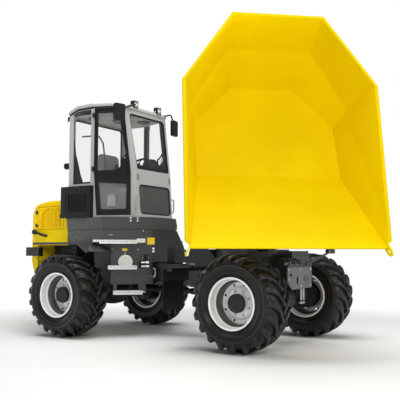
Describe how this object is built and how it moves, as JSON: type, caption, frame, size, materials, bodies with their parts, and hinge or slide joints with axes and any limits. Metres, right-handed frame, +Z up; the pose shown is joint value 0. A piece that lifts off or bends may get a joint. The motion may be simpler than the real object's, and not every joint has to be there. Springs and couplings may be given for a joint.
{
  "type": "articulated swivel-skip site dumper with cab",
  "caption": "Articulated four-wheel site dumper: closed cab and engine at the rear, swivel-tipping skip on a turntable at the front.",
  "frame": {"origin": "on the ground under the middle of the floor area that the machine stands over, in its standing pose", "axes": "+X is the driving direction, +Y is the machine's left side, +Z is up"},
  "size_m": [5.6162, 3.3372, 3.8183],
  "materials": {
    "skip_yellow": "semi-gloss yellow paint",
    "hood_yellow": "semi-gloss yellow paint",
    "chassis_black": "satin black paint",
    "body_grey": "satin dark grey paint",
    "cab_grey": "satin light grey paint",
    "roof_grey": "satin light grey paint",
    "door_dark": "satin black paint",
    "rim_grey": "satin silver paint",
    "cast_dark": "painted black casting",
    "steel": "bright steel",
    "chrome_rod": "hard chrome",
    "step_metal": "bright serrated tread",
    "tyre_rubber": "matte rubber",
    "flap_rubber": "matte rubber sheet",
    "black_plastic": "grained plastic",
    "seat_cloth": "woven seat cloth",
    "glazing": "clear with a pale green tint"
  },
  "bodies": {
    "rear_chassis": {"rear_frame": "chassis_black", "rear_axle": "cast_dark", "articulation_pin": "steel", "engine_block": "cast_dark", "tail_counterweight": "hood_yellow", "engine_hood": "hood_yellow", "rear_fenders": "body_grey", "rear_lamps": "black_plastic", "side_tanks": "body_grey", "body_crossmember": "chassis_black", "cab_deck": "body_grey", "access_steps": "step_metal", "cab_frame": "cab_grey", "cab_glass": "glazing", "nose_window": "glazing", "cab_roof": "roof_grey", "intake_boxes": "black_plastic", "seat_base": "black_plastic", "seat_cushions": "seat_cloth", "control_console": "black_plastic", "steering_wheel": "black_plastic", "mirrors": "black_plastic", "work_lights": "black_plastic", "grab_handles": "chassis_black"},
    "front_chassis": {"front_frame": "chassis_black", "towing_plate": "body_grey", "front_axle": "cast_dark", "slewing_ring": "chassis_black", "front_mudguards": "chassis_black", "mud_flaps": "flap_rubber"},
    "turntable": {"swivel_console": "chassis_black"},
    "skip": {"skip_shell": "skip_yellow", "skip_underframe": "skip_yellow", "lashing_eyes": "skip_yellow"},
    "tip_cylinder": {"tip_barrel": "chassis_black"},
    "tip_ram": {"tip_rod": "chrome_rod"},
    "cab_door_right": {"cab_door_right": "door_dark", "door_glass_right": "glazing"},
    "cab_door_left": {"cab_door_left": "door_dark", "door_glass_left": "glazing"},
    "engine_door_right": {"service_door_right": "hood_yellow"},
    "engine_door_left": {"service_door_left": "hood_yellow"},
    "steer_cylinder_left": {"steer_barrel_left": "chassis_black"},
    "steer_ram_left": {"steer_rod_left": "chrome_rod"},
    "steer_cylinder_right": {"steer_barrel_right": "chassis_black"},
    "steer_ram_right": {"steer_rod_right": "chrome_rod"},
    "wheel_front_left": {"rim_front_left": "rim_grey", "tyre_front_left": "tyre_rubber"},
    "wheel_front_right": {"rim_front_right": "rim_grey", "tyre_front_right": "tyre_rubber"},
    "wheel_rear_left": {"rim_rear_left": "rim_grey", "tyre_rear_left": "tyre_rubber"},
    "wheel_rear_right": {"rim_rear_right": "rim_grey", "tyre_rear_right": "tyre_rubber"}
  },
  "joints": [
    {"name": "steering", "type": "hinge", "parent": "rear_chassis", "child": "front_chassis", "pos_m": [-0.195, 0.43, 0.835], "axis": [0, 0, -1], "range_deg": [-33, 33]},
    {"name": "skip_swivel", "type": "hinge", "parent": "front_chassis", "child": "turntable", "pos_m": [0.785, 0.43, 1.15], "axis": [0, 0, 1], "range_deg": [-41.6, 138.4]},
    {"name": "skip_tip", "type": "hinge", "parent": "turntable", "child": "skip", "pos_m": [1.47548, -0.34771, 1.3], "axis": [0.7478, 0.6639, 0], "range_deg": [-70.4, 0]},
    {"name": "tip_cylinder_pitch", "type": "hinge", "parent": "turntable", "child": "tip_cylinder", "pos_m": [0.64558, 0.58704, 1.02], "axis": [-0.7478, -0.6639, 0], "range_deg": [-6.98, 0.3]},
    {"name": "tip_ram_slide", "type": "slide", "parent": "tip_cylinder", "child": "tip_ram", "axis": [0.5976, -0.673, 0.4358], "range_m": [-0.3267, 0.003]},
    {"name": "steer_cylinder_left_yaw", "type": "hinge", "parent": "rear_chassis", "child": "steer_cylinder_left", "pos_m": [-0.59, 0.58, 0.835], "axis": [0, 0, -1], "range_deg": [-9.38, 9.38]},
    {"name": "steer_ram_left_slide", "type": "slide", "parent": "steer_cylinder_left", "child": "steer_ram_left", "axis": [0.9881, 0.1535, 0], "range_m": [-0.1197, 0.1197]},
    {"name": "steer_cylinder_right_yaw", "type": "hinge", "parent": "rear_chassis", "child": "steer_cylinder_right", "pos_m": [-0.59, 0.28, 0.835], "axis": [0, 0, -1], "range_deg": [-9.38, 9.38]},
    {"name": "steer_ram_right_slide", "type": "slide", "parent": "steer_cylinder_right", "child": "steer_ram_right", "axis": [0.9881, -0.1535, 0], "range_m": [-0.1197, 0.1197]},
    {"name": "wheel_front_left_spin", "type": "hinge", "parent": "front_chassis", "child": "wheel_front_left", "pos_m": [1.16, 1.4, 0.565], "axis": [0, 1, 0], "continuous": true},
    {"name": "wheel_front_right_spin", "type": "hinge", "parent": "front_chassis", "child": "wheel_front_right", "pos_m": [1.16, -0.54, 0.565], "axis": [0, 1, 0], "continuous": true},
    {"name": "wheel_rear_left_spin", "type": "hinge", "parent": "rear_chassis", "child": "wheel_rear_left", "pos_m": [-1.55, 1.4, 0.565], "axis": [0, 1, 0], "continuous": true},
    {"name": "wheel_rear_right_spin", "type": "hinge", "parent": "rear_chassis", "child": "wheel_rear_right", "pos_m": [-1.55, -0.54, 0.565], "axis": [0, 1, 0], "continuous": true},
    {"name": "cab_door_right_swing", "type": "hinge", "parent": "rear_chassis", "child": "cab_door_right", "pos_m": [-1.43899, -0.20915, 2.275], "axis": [0, 0, -1], "range_deg": [0, 100]},
    {"name": "engine_door_right_swing", "type": "hinge", "parent": "rear_chassis", "child": "engine_door_right", "pos_m": [-2.619, -0.097, 1.545], "axis": [0, 0, -1], "range_deg": [0, 100]},
    {"name": "cab_door_left_swing", "type": "hinge", "parent": "rear_chassis", "child": "cab_door_left", "pos_m": [-1.43899, 1.06915, 2.275], "axis": [0, 0, 1], "range_deg": [0, 100]},
    {"name": "engine_door_left_swing", "type": "hinge", "parent": "rear_chassis", "child": "engine_door_left", "pos_m": [-2.619, 0.957, 1.545], "axis": [0, 0, 1], "range_deg": [0, 100]}
  ],
  "couplings": [
    {"joint": "tip_cylinder_pitch", "follows": "skip_tip", "ratio": 0.09493},
    {"joint": "tip_ram_slide", "follows": "skip_tip", "m_per_rad": 0.26344},
    {"joint": "steer_cylinder_left_yaw", "follows": "steering", "ratio": 0.27825},
    {"joint": "steer_ram_left_slide", "follows": "steering", "m_per_rad": 0.20439},
    {"joint": "steer_cylinder_right_yaw", "follows": "steering", "ratio": 0.27825},
    {"joint": "steer_ram_right_slide", "follows": "steering", "m_per_rad": -0.20439}
  ]
}
